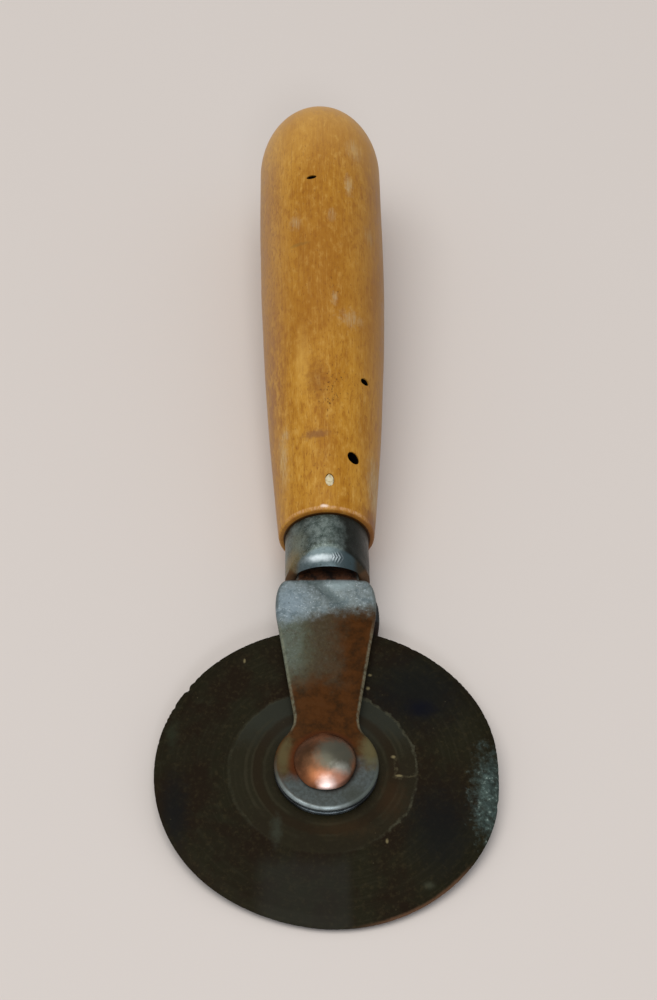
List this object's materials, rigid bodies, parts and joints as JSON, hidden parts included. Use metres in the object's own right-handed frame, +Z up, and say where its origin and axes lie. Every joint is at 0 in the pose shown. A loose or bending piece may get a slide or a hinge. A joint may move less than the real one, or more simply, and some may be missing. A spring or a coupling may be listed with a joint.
{
  "type": "hand rotary cutter",
  "caption": "Hand cutter with a flat steel wheel that turns on a domed rivet between sheet-steel arms, in a turned wooden handle with a steel ferrule.",
  "frame": {"origin": "Under the middle of the cutter's outline, on the table that it lies on", "axes": "+Y from the wheel towards the butt of the handle, +Z up from the table, +X across; the handle's own axis rises towards the butt by 5.8 degrees"},
  "size_m": [0.0636, 0.2116, 0.0343],
  "materials": {
    "wheel_steel": "dark brown patina with an old ring stain and a nicked edge",
    "hub_steel": "dull, lightly rusted",
    "rivet_copper": "worn copper, brown in the hollows",
    "arm_steel": "dull grey plate with brown rust along the neck",
    "ferrule_steel": "dull, tarnished, bright on the rolled edge",
    "handle_wood": "honey varnish, worn and scratched"
  },
  "bodies": {
    "fork_and_handle": {"fork_arm_upper": "arm_steel", "fork_arm_lower": "arm_steel", "washer_upper": "hub_steel", "washer_lower": "hub_steel", "bush": "hub_steel", "rivet": "rivet_copper", "ferrule": "ferrule_steel", "handle": "handle_wood", "tang_pin": "hub_steel"},
    "cutting_wheel": {"wheel": "wheel_steel"}
  },
  "joints": [
    {"name": "wheel_spin", "type": "hinge", "parent": "fork_and_handle", "child": "cutting_wheel", "pos_m": [0, -0.07424, 0.00405], "axis": [0, -0.1007, 0.9949], "continuous": true}
  ]
}
